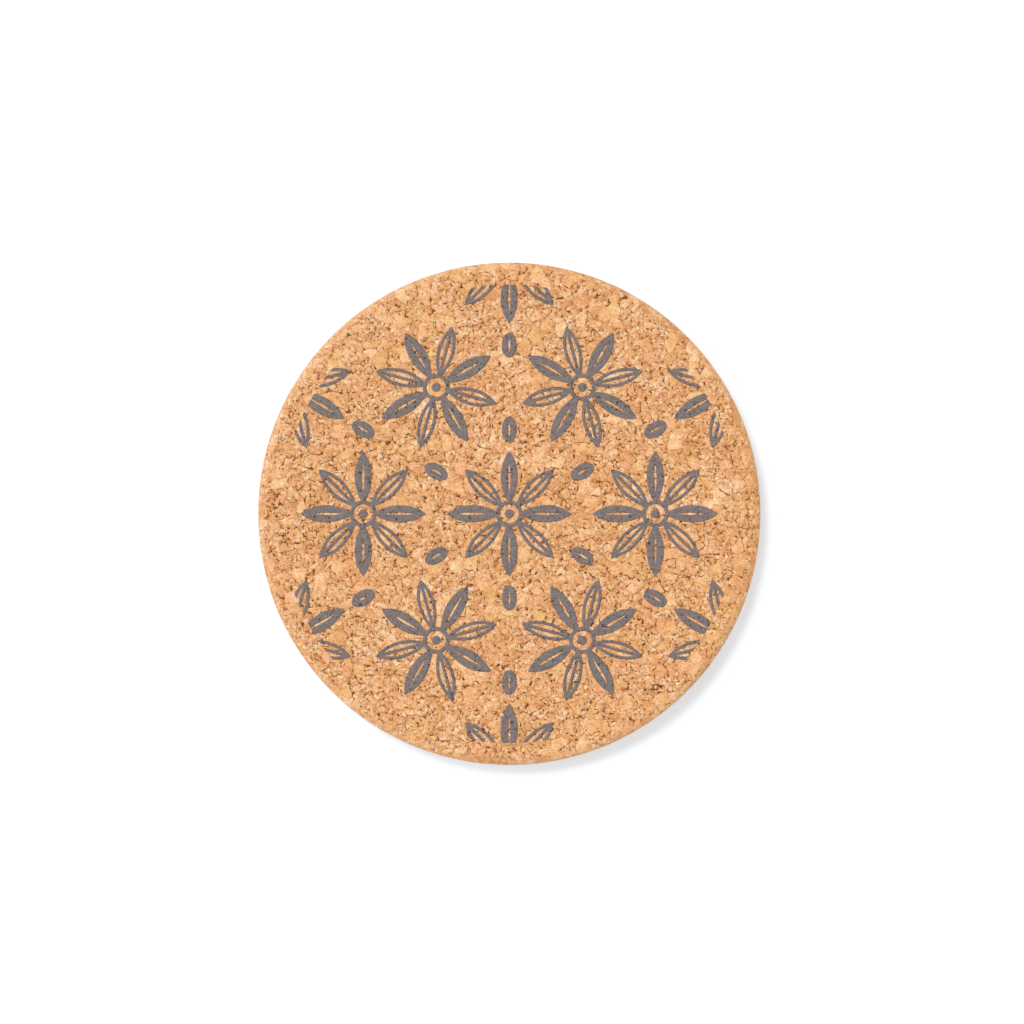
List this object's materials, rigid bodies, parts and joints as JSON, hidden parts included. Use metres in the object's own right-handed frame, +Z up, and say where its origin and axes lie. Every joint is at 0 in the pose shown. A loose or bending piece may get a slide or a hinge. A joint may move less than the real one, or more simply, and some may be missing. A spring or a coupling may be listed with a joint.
{
  "type": "cork coaster",
  "caption": "Thick round coaster of agglomerated cork with rounded edges and a grey screen-printed flower pattern on top, for standing a cup or glass on.",
  "frame": {"origin": "centre of the flat underside, on the surface that the coaster lies on", "axes": "+Z up through the coaster's middle, out of the printed face; +Y towards the top of the print, +X to its right"},
  "size_m": [0.1, 0.1, 0.0101],
  "materials": {
    "cork": "matte",
    "ink": "matte"
  },
  "bodies": {
    "root": {"cork_disc": "cork", "ink_flower_centre": "ink", "ink_flower_1": "ink", "ink_flower_2": "ink", "ink_flower_3": "ink", "ink_flower_4": "ink", "ink_flower_5": "ink", "ink_flower_6": "ink", "ink_eye_centre": "ink", "ink_eye_1": "ink", "ink_eye_2": "ink", "ink_eye_3": "ink", "ink_eye_4": "ink", "ink_eye_5": "ink", "ink_eye_6": "ink", "ink_inner_seed_1": "ink", "ink_inner_seed_2": "ink", "ink_inner_seed_3": "ink", "ink_inner_seed_4": "ink", "ink_inner_seed_5": "ink", "ink_inner_seed_6": "ink", "ink_outer_seed_1": "ink", "ink_outer_seed_2": "ink", "ink_outer_seed_3": "ink", "ink_outer_seed_4": "ink", "ink_outer_seed_5": "ink", "ink_outer_seed_6": "ink", "ink_border_petal_1_1": "ink", "ink_border_petal_1_2": "ink", "ink_border_petal_1_3": "ink", "ink_border_petal_2_1": "ink", "ink_border_petal_2_2": "ink", "ink_border_petal_2_3": "ink", "ink_border_petal_3_1": "ink", "ink_border_petal_3_2": "ink", "ink_border_petal_3_3": "ink", "ink_border_petal_4_1": "ink", "ink_border_petal_4_2": "ink", "ink_border_petal_4_3": "ink", "ink_border_petal_5_1": "ink", "ink_border_petal_5_2": "ink", "ink_border_petal_5_3": "ink", "ink_border_petal_6_1": "ink", "ink_border_petal_6_2": "ink", "ink_border_petal_6_3": "ink"}
  },
  "joints": []
}
